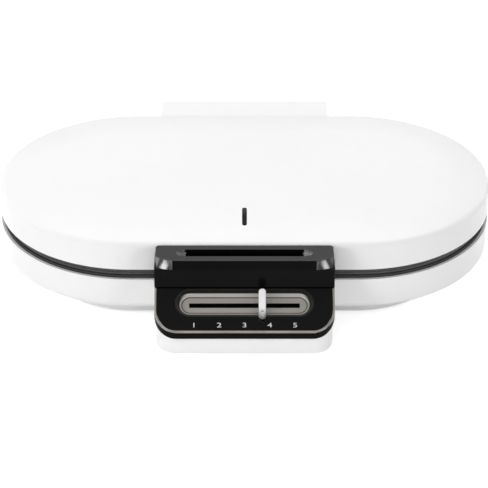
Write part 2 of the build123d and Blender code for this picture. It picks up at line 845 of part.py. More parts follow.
def make_base_cover():
    """Underside cover with vents, foot pockets and the circuit board's standoffs."""
    outer = pedestal_radius - shell_wall - fit_gap
    high = foot_stand + cover_thickness
    cover = racetrack(band(0, outer, foot_stand, high), end_offset)
    for x, y in ring_places(stud_ring, boss_x):
        cover -= rod(screw_hole_radius, (x, y, foot_stand), cover_thickness)
        cover -= rod(screw_head_radius + fit_gap, (x, y, foot_stand), screw_head_height)
    slot = SlotOverall(vent_length, vent_width)
    for side in (-1, 1):
        places = Pos(side * vent_x, 0, foot_stand) * GridLocations(1, vent_pitch, 1, vent_rows)
        cover -= [extrude(place * slot, cover_thickness) for place in places]
    for x, y in cover_foot_places():
        cover -= rod(foot_radius + pocket_gap, (x, y, foot_stand), foot_pocket)
    for x, y in board_corners():
        cover += rod(boss_radius, (x, y, high), board_standoff)
    return cover


def cover_foot_places():
    """Four feet under the underside cover."""
    return [(side * foot_x, end * foot_y) for side in (-1, 1) for end in (-1, 1)]


def make_cover_screws():
    """Screws up through the underside cover."""
    seat = foot_stand + screw_head_height
    grip = cover_thickness - screw_head_height + screw_grip
    return group([screw((x, y, seat), (0, 0, 1), grip) for x, y in ring_places(stud_ring, boss_x)])


def make_feet():
    """Six rubber feet, four under the cover and two under the hinge block."""
    places = cover_foot_places() + [(side * rear_foot_x, rear_foot_y) for side in (-1, 1)]
    foot = rod(foot_radius, (0, 0, 0), foot_stand + foot_pocket)
    foot = fillet(foot.faces().sort_by(Axis.Z)[0].edges(), edge_round)
    return group([Pos(x, y, 0) * foot for x, y in places])


# Electrical parts

def board_corners():
    """Standoffs under the circuit board's corners."""
    x = board_length / 2 - boss_radius
    y = board_width / 2 - boss_radius
    return [(side * x, board_y + end * y) for side in (-1, 1) for end in (-1, 1)]


def make_board():
    """Circuit board on its standoffs."""
    low = foot_stand + cover_thickness + board_standoff
    half_width = board_width / 2
    return block((-board_length / 2, board_length / 2), (board_y - half_width, board_y + half_width),
                 (low, low + board_thickness))


def board_top():
    """Height of the circuit board's upper face."""
    return foot_stand + cover_thickness + board_standoff + board_thickness


def make_relay():
    """Power relay on the circuit board."""
    length, width, height = relay_size
    low = board_top()
    return Pos(-part_offset, board_y, low + height / 2) * Box(length, width, height)


def make_capacitor():
    """Smoothing capacitor on the circuit board."""
    can = rod(capacitor_radius, (part_offset, board_y, board_top()), capacitor_height)
    return fillet(can.faces().sort_by(Axis.Z)[-1].edges(), edge_round)


def make_terminal_block():
    """Mains terminal block on the underside cover, with its clamp holes."""
    length, width, height = terminal_block_size
    low = foot_stand + cover_thickness
    body = Pos(0, terminal_block_y, low + height / 2) * Box(length, width, height)
    for x in (-clamp_pitch, 0, clamp_pitch):
        body -= rod(screw_radius, (x, terminal_block_y, low + height), height / 2, (0, 0, -1))
    return body


def make_sensor():
    """Temperature sensor clamped between the lower plate and its heat shield."""
    return rod(sensor_radius, (*sensor_place, pan_back), shield_face - pan_back)


def make_fuse():
    """Thermal fuse in its holder on the lower heat shield."""
    length, width, height = fuse_base
    back = shield_face + shield_thickness
    base = Pos(*fuse_place, back + height / 2) * Box(length, width, height)
    start = (fuse_place[0] - fuse_length / 2, fuse_place[1], back + height)
    return base + rod(fuse_radius, start, fuse_length, (1, 0, 0))


def make_gland():
    """Rubber gland for the mains cord, in the hinge block's rear wall."""
    x, z = gland_place
    barrel = rod(gland_radius, (x, rear_face + gland_flange, z), 2 * gland_flange + shell_wall, (0, -1, 0))
    outside = rod(gland_flange_radius, (x, rear_face + gland_flange, z), gland_flange, (0, -1, 0))
    inside = rod(gland_flange_radius, (x, rear_face - shell_wall, z), gland_flange, (0, -1, 0))
    bore = rod(gland_bore, (x, rear_face + gland_flange, z), 2 * gland_flange + shell_wall, (0, -1, 0))
    return barrel + outside + inside - bore


# Indicator

def make_lens(form, hollow):
    """Smoked lens, flush with the lid's top, with its flange against the inside."""
    low = lens_floor()
    stem = lens_slot(lens_length, lens_width, low, lid_top) & form
    flange = lens_slot(lens_length + 2 * lens_flange, lens_width + 2 * lens_flange, low, lid_top) & hollow
    return stem + flange


def lens_floor():
    """Underside of the lens flange."""
    run = lens_place - crown_run
    fall = crown_rise + run * math.tan(math.radians((crown_slope + shoulder_slope) / 2))
    return lid_top - fall - shell_wall - lens_depth


def make_holder():
    """Lamp holder under the lens."""
    high = lens_floor()
    low = high - holder_depth
    length = lens_length + 2 * lens_flange
    width = lens_width + 2 * lens_flange
    shell = lens_slot(length, width, low, high)
    hollow = lens_slot(length - 2 * holder_wall, width - 2 * holder_wall, low + holder_wall, high)
    return shell - hollow


def make_lamp():
    """Glow lamp lying in its holder."""
    low = lens_floor() - holder_depth + holder_wall
    start = (0, -lens_place - lamp_length / 2, low + lamp_radius)
    lamp = rod(lamp_radius, start, lamp_length, (0, 1, 0))
    return fillet(lamp.edges().filter_by(GeomType.CIRCLE), lamp_radius / 2)


def main():
    """Build every piece and write it under its own name."""
    os.makedirs("parts", exist_ok=True)
    lid_form = racetrack(lid_section(0, lid_rim), end_offset)
    lid_hollow = racetrack(lid_section(shell_wall, base_lip), end_offset)
    save(make_lid_shell(lid_form, lid_hollow), "lid_shell")
    save(make_lens(lid_form, lid_hollow), "indicator_lens")
    save(make_holder(), "lamp_holder")
    save(make_lamp(), "indicator_lamp")
    save(make_handle(), "lid_handle")
    save(make_apron(), "handle_apron")
    save(make_handle_screws(), "handle_screws")
    save(make_hinge_cover(), "hinge_cover")
    save(make_hinge_cover_screws(), "hinge_cover_screws")

    save(upper(make_frame(end_radius - upper_lip_inset)), "upper_frame")
    save(lower(make_frame(frame_outer)), "lower_frame")
    halves = {
        "frame_screws": make_frame_screws(),
        "waffle_plate": make_plate(),
        "heating_element": make_element(),
        "heat_shield": make_shield(),
        "shield_screws": make_shield_screws(),
    }
    for name, piece in halves.items():
        save(upper(piece), f"upper_{name}")
        save(lower(piece), f"lower_{name}")

    save(make_base_shell(), "base_shell")
    save(make_base_cover(), "base_cover")
    save(make_cover_screws(), "base_cover_screws")
    save(make_feet(), "rubber_feet")
    save(make_panel(), "control_panel")
    save(make_panel_screws(), "panel_screws")
    save(make_dish(), "scale_dish")
    save(make_scale_plate(), "scale_plate")
    save(make_lever(), "slider_lever")
    save(make_carriage(), "slider_carriage")
    save(make_slide_resistor(), "slide_resistor")
    save(make_bracket(-1), "hinge_bracket_left")
    save(make_bracket(1), "hinge_bracket_right")
    save(make_bracket_screws(), "hinge_bracket_screws")
    save(hinge_bar(hinge_pin_radius, -hinge_pin_half, hinge_pin_half), "hinge_pin")
    save(make_board(), "control_board")
    save(make_relay(), "power_relay")
    save(make_capacitor(), "smoothing_capacitor")
    save(make_terminal_block(), "terminal_block")
    save(lower(make_sensor()), "temperature_sensor")
    save(lower(make_fuse()), "thermal_fuse")
    save(make_gland(), "cord_gland")


main()
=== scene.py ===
import logging
import math
from collections.abc import Callable, Iterable
from dataclasses import dataclass
from enum import Enum

import bmesh
import bpy
from mathutils import Matrix, Vector


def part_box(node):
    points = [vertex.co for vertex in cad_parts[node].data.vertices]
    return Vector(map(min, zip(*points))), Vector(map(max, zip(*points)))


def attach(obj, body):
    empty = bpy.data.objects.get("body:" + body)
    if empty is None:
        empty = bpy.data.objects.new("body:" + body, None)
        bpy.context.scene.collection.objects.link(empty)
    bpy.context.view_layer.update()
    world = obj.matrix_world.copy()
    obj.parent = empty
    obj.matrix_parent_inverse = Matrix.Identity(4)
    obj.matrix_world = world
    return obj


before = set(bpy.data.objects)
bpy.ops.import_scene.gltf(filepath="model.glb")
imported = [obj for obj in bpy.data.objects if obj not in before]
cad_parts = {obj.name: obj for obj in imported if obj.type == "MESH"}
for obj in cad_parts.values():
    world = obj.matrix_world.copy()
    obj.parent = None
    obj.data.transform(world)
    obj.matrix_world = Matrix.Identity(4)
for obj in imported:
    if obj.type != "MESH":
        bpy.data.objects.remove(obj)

LOG = logging.getLogger("waffle_maker")
MM = 0.001
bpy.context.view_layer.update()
MIX_COLOUR_INPUTS = (6, 7)
MIX_COLOUR_OUTPUT = 2

Colour = tuple[float, float, float]
Place = tuple[float, float, float]
Band = tuple[float, float]
Socket = bpy.types.NodeSocket
FaceRule = Callable[[Vector, Vector], bool]


@dataclass
class ShaderTree:
    """A node tree with short calls for adding and joining nodes."""

    tree: bpy.types.NodeTree

    def add(self, kind: str, **settings: object) -> bpy.types.Node:
        """Add one node.

        Args:
            kind: Blender's name for the node type.
            **settings: Properties to set on the node.

        Returns:
            The new node.
        """
        node = self.tree.nodes.new(kind)
        for name, value in settings.items():
            setattr(node, name, value)
        return node

    def join(self, source: Socket, target: Socket) -> None:
        """Link an output to an input."""
        self.tree.links.new(source, target)

    def feed(self, target: Socket, value: Socket | Colour | Vector | float) -> None:
        """Give an input its value.

        Args:
            target: The input.
            value: An output to link, a colour as a tuple, a vector or a number.
        """
        if isinstance(value, Socket):
            self.join(value, target)
        else:
            target.default_value = (*value, 1.0) if isinstance(value, tuple) else value

    def place(self) -> Socket:
        """Coordinates that stay with the piece."""
        return self.add("ShaderNodeTexCoord").outputs["Object"]

    def noise(self, scale: Socket | float, detail: float, where: Socket) -> Socket:
        """Add a noise texture.

        Args:
            scale: Features per metre.
            detail: Number of finer layers.
            where: Coordinates that the noise is laid on.

        Returns:
            The noise's value.
        """
        node = self.add("ShaderNodeTexNoise")
        self.feed(node.inputs["Scale"], scale)
        self.feed(node.inputs["Detail"], detail)
        self.join(where, node.inputs["Vector"])
        return node.outputs["Fac"]

    def maths(
        self, operation: str, first: Socket | float, second: Socket | float = 0.0, clamp: bool = False
    ) -> Socket:
        """Add a maths node.

        Args:
            operation: Blender's name for the operation.
            first: A socket or a number.
            second: A socket or a number, left out where the operation takes one value.
            clamp: Whether the result is kept within 0 and 1.

        Returns:
            The result socket.
        """
        node = self.add("ShaderNodeMath", operation=operation, use_clamp=clamp)
        for index, value in enumerate((first, second)):
            self.feed(node.inputs[index], value)
        return node.outputs[0]

    def vector_maths(self, operation: str, first: Socket, second: Socket) -> bpy.types.Node:
        """Add a vector maths node.

        Args:
            operation: Blender's name for the operation.
            first: The first vector.
            second: The second vector.

        Returns:
            The node, whose output depends on the operation.
        """
        node = self.add("ShaderNodeVectorMath", operation=operation)
        self.join(first, node.inputs[0])
        self.join(second, node.inputs[1])
        return node

    def split(self, vector: Socket) -> bpy.types.Node:
        """Add a node that takes a vector apart.

        Args:
            vector: The vector.

        Returns:
            The node, with the outputs X, Y and Z.
        """
        node = self.add("ShaderNodeSeparateXYZ")
        self.join(vector, node.inputs[0])
        return node

    def blend(self, mask: Socket, low: Socket | Colour, high: Socket | Colour) -> Socket:
        """Mix two colours by a mask.

        Args:
            mask: 0 for the first colour, 1 for the second.
            low: A socket or a colour.
            high: A socket or a colour.

        Returns:
            The mixed colour socket.
        """
        node = self.add("ShaderNodeMix", data_type="RGBA")
        self.join(mask, node.inputs["Factor"])
        for index, value in zip(MIX_COLOUR_INPUTS, (low, high)):
            self.feed(node.inputs[index], value)
        return node.outputs[MIX_COLOUR_OUTPUT]

    def ramp(self, value: Socket, low: Socket | float, high: Socket | float) -> Socket:
        """Stretch a value with a smooth start and end.

        Args:
            value: The value to stretch.
            low: The value that gives 0.
            high: The value that gives 1.

        Returns:
            The stretched value.
        """
        node = self.add("ShaderNodeMapRange", interpolation_type="SMOOTHSTEP")
        self.join(value, node.inputs["Value"])
        self.feed(node.inputs["From Min"], low)
        self.feed(node.inputs["From Max"], high)
        return node.outputs["Result"]

    def group(self, shared: bpy.types.NodeTree, **values: object) -> bpy.types.Node:
        """Place a shared group with its own values.

        Args:
            shared: The group.
            **values: The value of each named input.

        Returns:
            The group's node.
        """
        node = self.add("ShaderNodeGroup", node_tree=shared)
        for name, value in values.items():
            self.feed(node.inputs[name], value)
        return node


@dataclass
class Effects:
    """Shader groups for the effects that several finishes share, each built once.

    A band is where a smooth rise starts and ends, and a detail is a noise's number of finer layers.
    """

    tone_band: Band = (0.3, 0.7)
    tone_detail: float = 3.0
    smudge_middle: float = 0.5
    smudge_gain: float = 2.0
    smudge_detail: float = 4.0
    grain_detail: float = 2.0
    wear_gain: float = 12.0
    wear_band: Band = (0.35, 0.65)
    wear_detail: float = 4.0
    upward_band: Band = (0.5, 1.0)
    dust_band: Band = (0.4, 0.75)
    dust_detail: float = 5.0
    line_band: Band = (0.3, 0.7)
    line_detail: float = 3.0
    end_band: Band = (0.25, 0.95)
    below_band: Band = (0.1, 0.8)
    sharp_gain: float = 5000.0
    least_reach: float = 0.1 * MM

    def __post_init__(self) -> None:
        """Build every group."""
        self.drift = self._colour_drift()
        self.roughness = self._roughness_drift()
        self.grain = self._moulded_grain()
        self.wear = self._edge_wear()
        self.dust = self._settled_dust()
        self.brushing = self._brushed_lines()
        self.oval = self._oval_fade()

    @staticmethod
    def _start(
        name: str, inputs: dict[str, tuple[str, object]], outputs: dict[str, str]
    ) -> tuple[ShaderTree, bpy.types.Node, bpy.types.Node]:
        """Make an empty group with named sockets.

        Args:
            name: The group's name.
            inputs: Socket names with their kind and default value.
            outputs: Socket names with their kind.

        Returns:
            The group's shader tree, its input node and its output node.
        """
        group = bpy.data.node_groups.new(name, "ShaderNodeTree")
        for label, (kind, value) in inputs.items():
            socket = group.interface.new_socket(name=label, in_out="INPUT", socket_type=f"NodeSocket{kind}")
            socket.default_value = value
        for label, kind in outputs.items():
            group.interface.new_socket(name=label, in_out="OUTPUT", socket_type=f"NodeSocket{kind}")
        tree = ShaderTree(group)
        return tree, tree.add("NodeGroupInput"), tree.add("NodeGroupOutput")

    def _colour_drift(self) -> bpy.types.NodeTree:
        """Slow change between two near colours, as a large moulding shows.

        Returns:
            The group.
        """
        tree, given, result = self._start(
            "Colour drift",
            {
                "Colour": ("Color", (0.8, 0.8, 0.8, 1.0)), "Second": ("Color", (0.7, 0.7, 0.7, 1.0)),
                "Scale": ("Float", 9.0),
            },
            {"Colour": "Color"},
        )
        patches = tree.noise(given.outputs["Scale"], self.tone_detail, tree.place())
        mask = tree.ramp(patches, *self.tone_band)
        mixed = tree.blend(mask, given.outputs["Colour"], given.outputs["Second"])
        tree.join(mixed, result.inputs["Colour"])
        return tree.tree

    def _roughness_drift(self) -> bpy.types.NodeTree:
        """Roughness that wanders by a spread to both sides of its middle.

        Returns:
            The group.
        """
        tree, given, result = self._start(
            "Roughness drift",
            {"Roughness": ("Float", 0.3), "Spread": ("Float", 0.05), "Scale": ("Float", 30.0)},
            {"Roughness": "Float"},
        )
        smudges = tree.noise(given.outputs["Scale"], self.smudge_detail, tree.place())
        centred = tree.maths("SUBTRACT", smudges, self.smudge_middle)
        step = tree.maths("MULTIPLY", centred, given.outputs["Spread"])
        wander = tree.maths("MULTIPLY", step, self.smudge_gain)
        roughness = tree.maths("ADD", given.outputs["Roughness"], wander, clamp=True)
        tree.join(roughness, result.inputs["Roughness"])
        return tree.tree

    def _moulded_grain(self) -> bpy.types.NodeTree:
        """Fine height of a moulded or cast skin.

        Returns:
            The group.
        """
        tree, given, result = self._start(
            "Moulded grain", {"Scale": ("Float", 900.0), "Depth": ("Float", 0.5)}, {"Height": "Float"}
        )
        fine = tree.noise(given.outputs["Scale"], self.grain_detail, tree.place())
        tree.join(tree.maths("MULTIPLY", fine, given.outputs["Depth"]), result.inputs["Height"])
        return tree.tree

    def _edge_wear(self) -> bpy.types.NodeTree:
        """Mask along sharp convex edges, broken up by noise.

        Returns:
            The group.
        """
        tree, given, result = self._start(
            "Edge wear", {"Start": ("Float", 0.55), "Scale": ("Float", 160.0)}, {"Mask": "Float"}
        )
        edge = tree.add("ShaderNodeNewGeometry").outputs["Pointiness"]
        over = tree.maths("SUBTRACT", edge, given.outputs["Start"])
        strong = tree.maths("MULTIPLY", over, self.wear_gain, clamp=True)
        patches = tree.noise(given.outputs["Scale"], self.wear_detail, tree.place())
        broken = tree.ramp(patches, *self.wear_band)
        tree.join(tree.maths("MULTIPLY", strong, broken, clamp=True), result.inputs["Mask"])
        return tree.tree

    def _settled_dust(self) -> bpy.types.NodeTree:
        """Mask of thin dust on faces that look up.

        Returns:
            The group.
        """
        tree, given, result = self._start(
            "Settled dust", {"Amount": ("Float", 0.1), "Scale": ("Float", 60.0)}, {"Mask": "Float"}
        )
        facing = tree.split(tree.add("ShaderNodeNewGeometry").outputs["Normal"])
        upward = tree.ramp(facing.outputs["Z"], *self.upward_band)
        patches = tree.noise(given.outputs["Scale"], self.dust_detail, tree.place())
        lying = tree.maths("MULTIPLY", upward, tree.ramp(patches, *self.dust_band))
        dust = tree.maths("MULTIPLY", lying, given.outputs["Amount"], clamp=True)
        tree.join(dust, result.inputs["Mask"])
        return tree.tree

    def _brushed_lines(self) -> bpy.types.NodeTree:
        """Mask of long fine lines along X, as rolled or brushed sheet has.

        Returns:
            The group.
        """
        tree, given, result = self._start(
            "Brushed lines", {"Scale": ("Float", 400.0), "Stretch": ("Float", 0.03)}, {"Mask": "Float"}
        )
        squeeze = tree.add("ShaderNodeCombineXYZ")
        tree.feed(squeeze.inputs["X"], given.outputs["Stretch"])
        tree.feed(squeeze.inputs["Y"], 1.0)
        tree.feed(squeeze.inputs["Z"], 1.0)
        drawn_out = tree.vector_maths("MULTIPLY", tree.place(), squeeze.outputs["Vector"])
        lines = tree.noise(given.outputs["Scale"], self.line_detail, drawn_out.outputs["Vector"])
        tree.join(tree.ramp(lines, *self.line_band), result.inputs["Mask"])
        return tree.tree

    def _oval_fade(self) -> bpy.types.NodeTree:
        """Four masks round a straight line along X, by the distance from it.

        Ends and Below rise from the inner to the outer distance, past the line's two ends and down the
        slope. Rim is what lies past the lip, and Foot is what lies nearer than the foot. The dish paints
        shade with Ends, Below and Foot.

        Returns:
            The group.
        """
        tree, given, result = self._start(
            "Oval fade",
            {
                "Middle": ("Vector", (0.0, 0.0, 0.0)), "Down": ("Vector", (0.0, -1.0, 0.0)),
                "Run": ("Float", 0.04), "Foot": ("Float", 0.006), "Inner": ("Float", 0.007),
                "Outer": ("Float", 0.011), "Lip": ("Float", 0.011),
            },
            {"Ends": "Float", "Below": "Float", "Rim": "Float", "Foot": "Float"},
        )
        offset = tree.vector_maths("SUBTRACT", tree.place(), given.outputs["Middle"]).outputs["Vector"]
        low = tree.vector_maths("DOT_PRODUCT", offset, given.outputs["Down"]).outputs["Value"]
        across = tree.maths("ABSOLUTE", tree.split(offset).outputs["X"])
        past = tree.maths("MAXIMUM", tree.maths("SUBTRACT", across, given.outputs["Run"]), 0.0)
        squares = tree.maths("ADD", tree.maths("MULTIPLY", past, past), tree.maths("MULTIPLY", low, low))
        reach = tree.maths("SQRT", squares)
        safe_reach = tree.maths("MAXIMUM", reach, self.least_reach)
        endness = tree.ramp(tree.maths("DIVIDE", past, safe_reach), *self.end_band)
        belowness = tree.ramp(tree.maths("DIVIDE", low, safe_reach), *self.below_band)
        rise = tree.ramp(reach, given.outputs["Inner"], given.outputs["Outer"])
        over = tree.maths("SUBTRACT", reach, given.outputs["Lip"])
        under = tree.maths("SUBTRACT", given.outputs["Foot"], reach)
        tree.join(tree.maths("MULTIPLY", rise, endness, clamp=True), result.inputs["Ends"])
        tree.join(tree.maths("MULTIPLY", rise, belowness, clamp=True), result.inputs["Below"])
        tree.join(tree.maths("MULTIPLY", over, self.sharp_gain, clamp=True), result.inputs["Rim"])
        tree.join(tree.maths("MULTIPLY", under, self.sharp_gain, clamp=True), result.inputs["Foot"])
        return tree.tree


@dataclass(frozen=True)
class SlopePlace:
    """Where the scale lies on the control panel, in metres and radians."""

    upper_edge_y: float = -133.25 * MM
    upper_edge_z: float = 64.9 * MM
    slope: float = math.radians(34.0)
    scale_down: float = 12.7 * MM
    half_run: float = 44.0 * MM

    @property
    def upper_edge(self) -> Vector:
        """Middle of the slope's upper edge."""
        return Vector((0.0, self.upper_edge_y, self.upper_edge_z))

    @property
    def down(self) -> Vector:
        """Direction down the slope."""
        return Vector((0.0, -math.cos(self.slope), -math.sin(self.slope)))

    @property
    def scale_middle(self) -> Vector:
        """Middle of the scale, on the panel's face."""
        return self.upper_edge + self.scale_down * self.down


@dataclass(frozen=True)
class Finish:
    """A surface finish: colour that drifts, roughness that wanders, grain, wear and dust.

    Distances are in metres, and the scales of patterns in features per metre.
    """

    name: str
    colour: Colour
    second: Colour
    roughness: float
    drift_scale: float = 9.0
    spread: float = 0.04
    spread_scale: float = 40.0
    grain_scale: float = 1400.0
    grain_depth: float = 0.4
    bump_distance: float = 0.02 * MM
    wear_colour: Colour | None = None
    wear_start: float = 0.56
    dust: float = 0.0
    dust_colour: Colour = (0.55, 0.54, 0.52)
    metallic: float = 0.0
    specular: float = 0.5
    coat: float = 0.0
    coat_roughness: float = 0.05
    transmission: float = 0.0
    subsurface: float = 0.0
    subsurface_scale: float = 2.0 * MM
    anisotropy: float = 0.0
    ior: float = 1.5

    def build(self, effects: Effects) -> bpy.types.Material:
        """Make the material.

        Args:
            effects: The shared shader groups.

        Returns:
            The finished material.
        """
        material = bpy.data.materials.new(self.name)
        material.use_nodes = True
        material.node_tree.nodes.clear()
        tree = ShaderTree(material.node_tree)
        shader = tree.add("ShaderNodeBsdfPrincipled")
        output = tree.add("ShaderNodeOutputMaterial")
        tree.join(shader.outputs["BSDF"], output.inputs["Surface"])
        self._set_numbers(shader)
        colour = self.colour_socket(tree, effects)
        colour = self._worn(tree, effects, colour)
        colour = self._dusty(tree, effects, colour)
        tree.join(colour, shader.inputs["Base Color"])
        tree.join(self.roughness_socket(tree, effects), shader.inputs["Roughness"])
        bump = tree.add("ShaderNodeBump")
        bump.inputs["Distance"].default_value = self.bump_distance
        bump.inputs["Strength"].default_value = 1.0
        tree.join(self.height_socket(tree, effects), bump.inputs["Height"])
        tree.join(bump.outputs["Normal"], shader.inputs["Normal"])
        return material

    def _set_numbers(self, shader: bpy.types.Node) -> None:
        """Set the numbers that are the same all over the surface.

        Args:
            shader: The material's shader.
        """
        shader.inputs["Metallic"].default_value = self.metallic
        shader.inputs["Specular IOR Level"].default_value = self.specular
        shader.inputs["Coat Weight"].default_value = self.coat
        shader.inputs["Coat Roughness"].default_value = self.coat_roughness
        shader.inputs["Transmission Weight"].default_value = self.transmission
        shader.inputs["Subsurface Weight"].default_value = self.subsurface
        shader.inputs["Subsurface Scale"].default_value = self.subsurface_scale
        shader.inputs["Anisotropic"].default_value = self.anisotropy
        shader.inputs["IOR"].default_value = self.ior

    def colour_socket(self, tree: ShaderTree, effects: Effects) -> Socket:
        """The colour before wear and dust."""
        drift = tree.group(effects.drift, Colour=self.colour, Second=self.second, Scale=self.drift_scale)
        return drift.outputs["Colour"]

    def roughness_socket(self, tree: ShaderTree, effects: Effects) -> Socket:
        """The roughness over the surface."""
        values = {"Roughness": self.roughness, "Spread": self.spread, "Scale": self.spread_scale}
        return tree.group(effects.roughness, **values).outputs["Roughness"]

    def height_socket(self, tree: ShaderTree, effects: Effects) -> Socket:
        """The fine height of the surface."""
        grain = tree.group(effects.grain, Scale=self.grain_scale, Depth=self.grain_depth)
        return grain.outputs["Height"]

    def _worn(self, tree: ShaderTree, effects: Effects, colour: Socket) -> Socket:
        """Lay the wear colour along the edges, where the finish has one.

        Args:
            tree: The material's tree.
            effects: The shared shader groups.
            colour: The colour without wear.

        Returns:
            The colour with wear.
        """
        if self.wear_colour is None:
            return colour
        wear = tree.group(effects.wear, Start=self.wear_start)
        return tree.blend(wear.outputs["Mask"], colour, self.wear_colour)

    def _dusty(self, tree: ShaderTree, effects: Effects, colour: Socket) -> Socket:
        """Lay thin dust on faces that look up, where the finish has any.

        Args:
            tree: The material's tree.
            effects: The shared shader groups.
            colour: The colour without dust.

        Returns:
            The colour with dust.
        """
        if self.dust == 0.0:
            return colour
        dust = tree.group(effects.dust, Amount=self.dust)
        return tree.blend(dust.outputs["Mask"], colour, self.dust_colour)


@dataclass(frozen=True)
class BrushedMetal(Finish):
    """Metal with fine lines in its colour and height."""

    line_scale: float = 500.0
    line_stretch: float = 0.03

    def _lines(self, tree: ShaderTree, effects: Effects) -> Socket:
        """Mask of the lines."""
        lines = tree.group(effects.brushing, Scale=self.line_scale, Stretch=self.line_stretch)
        return lines.outputs["Mask"]

    def colour_socket(self, tree: ShaderTree, effects: Effects) -> Socket:
        """Two metal tones along the lines."""
        return tree.blend(self._lines(tree, effects), self.colour, self.second)

    def height_socket(self, tree: ShaderTree, effects: Effects) -> Socket:
        """The lines as fine grooves."""
        return self._lines(tree, effects)


@dataclass(frozen=True)
class SpangledSheet(Finish):
    """Hot-dipped sheet with crystal patches."""

    patch_scale: float = 140.0

    def colour_socket(self, tree: ShaderTree, effects: Effects) -> Socket:
        """Give each crystal its own tone.

        Args:
            tree: The material's tree.
            effects: The shared shader groups; not used.

        Returns:
            The colour.
        """
        crystals = tree.add("ShaderNodeTexVoronoi")
        tree.feed(crystals.inputs["Scale"], self.patch_scale)
        tree.feed(crystals.inputs["Vector"], tree.place())
        parts = tree.add("ShaderNodeSeparateColor")
        tree.feed(parts.inputs["Color"], crystals.outputs["Color"])
        return tree.blend(parts.outputs["Red"], self.colour, self.second)


@dataclass(frozen=True)
class SpeckledCoating(Finish):
    """Dark release coating with pale specks, over a lightly pitted casting."""

    speck_colour: Colour = (0.16, 0.16, 0.165)
    speck_scale: float = 900.0
    speck_size: float = 0.16

    def colour_socket(self, tree: ShaderTree, effects: Effects) -> Socket:
        """Lay specks over the drifting coat.

        Args:
            tree: The material's tree.
            effects: The shared shader groups.

        Returns:
            The colour.
        """
        specks = tree.add("ShaderNodeTexVoronoi")
        tree.feed(specks.inputs["Scale"], self.speck_scale)
        tree.feed(specks.inputs["Vector"], tree.place())
        near = tree.maths("LESS_THAN", specks.outputs["Distance"], self.speck_size)
        return tree.blend(near, super().colour_socket(tree, effects), self.speck_colour)


@dataclass(frozen=True)
class ShadedDish(Finish):
    """Grey wall lighter than the plate as painted light, painted shade at its ends, lower wall and foot,
    black past its lip.
    """

    # Black of the painted shade and of the lip.
    dark: Colour = (0.002, 0.002, 0.002)
    foot: float = 7.35 * MM
    inner: float = 8.3 * MM
    outer: float = 9.1 * MM
    lip: float = 9.5 * MM
    where: SlopePlace = SlopePlace()

    def colour_socket(self, tree: ShaderTree, effects: Effects) -> Socket:
        """Lay the painted shadow line at the foot, the painted shade on the ends and lower wall, and the
        black lip over the grey.

        Args:
            tree: The material's tree.
            effects: The shared shader groups.

        Returns:
            The colour.
        """
        fade = tree.group(
            effects.oval, Middle=self.where.scale_middle, Down=self.where.down, Run=self.where.half_run,
            Foot=self.foot, Inner=self.inner, Outer=self.outer, Lip=self.lip,
        )
        # Ends and Below are painted shade where the wall's reflection falls off, Foot is a painted shadow
        # line at the plate's edge, and Rim is the panel's own black.
        mask = fade.outputs["Ends"]
        for label in ("Below", "Rim", "Foot"):
            mask = tree.maths("MAXIMUM", mask, fade.outputs[label])
        return tree.blend(mask, super().colour_socket(tree, effects), self.dark)


@dataclass(frozen=True)
class FadedLever(Finish):
    """Milky plastic that turns clearer and greyer towards its front end."""

    clear: Colour = (0.42, 0.42, 0.42)
    fade_run: float = 7.0 * MM

    def colour_socket(self, tree: ShaderTree, effects: Effects) -> Socket:
        """Fade from grey at the front end to milky behind.

        Args:
            tree: The material's tree.
            effects: The shared shader groups.

        Returns:
            The colour.
        """
        front_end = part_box("slider_lever")[0][1]
        along = tree.split(tree.place()).outputs["Y"]
        milky = tree.ramp(along, front_end, front_end + self.fade_run)
        return tree.blend(milky, self.clear, super().colour_socket(tree, effects))


@dataclass(frozen=True)
class CircuitLaminate(Finish):
    """Green laminate with copper tracks under its mask."""

    track_colour: Colour = (0.09, 0.3, 0.13)
    track_scale: float = 260.0
    track_gap: float = 0.06

    def colour_socket(self, tree: ShaderTree, effects: Effects) -> Socket:
        """Lay the tracks as square-cornered bands.

        Args:
            tree: The material's tree.
            effects: The shared shader groups; not used.

        Returns:
            The colour.
        """
        tracks = tree.add("ShaderNodeTexBrick")
        tree.feed(tracks.inputs["Scale"], self.track_scale)
        tree.feed(tracks.inputs["Mortar Size"], self.track_gap)
        tree.feed(tracks.inputs["Vector"], tree.place())
        return tree.blend(tracks.outputs["Fac"], self.colour, self.track_colour)


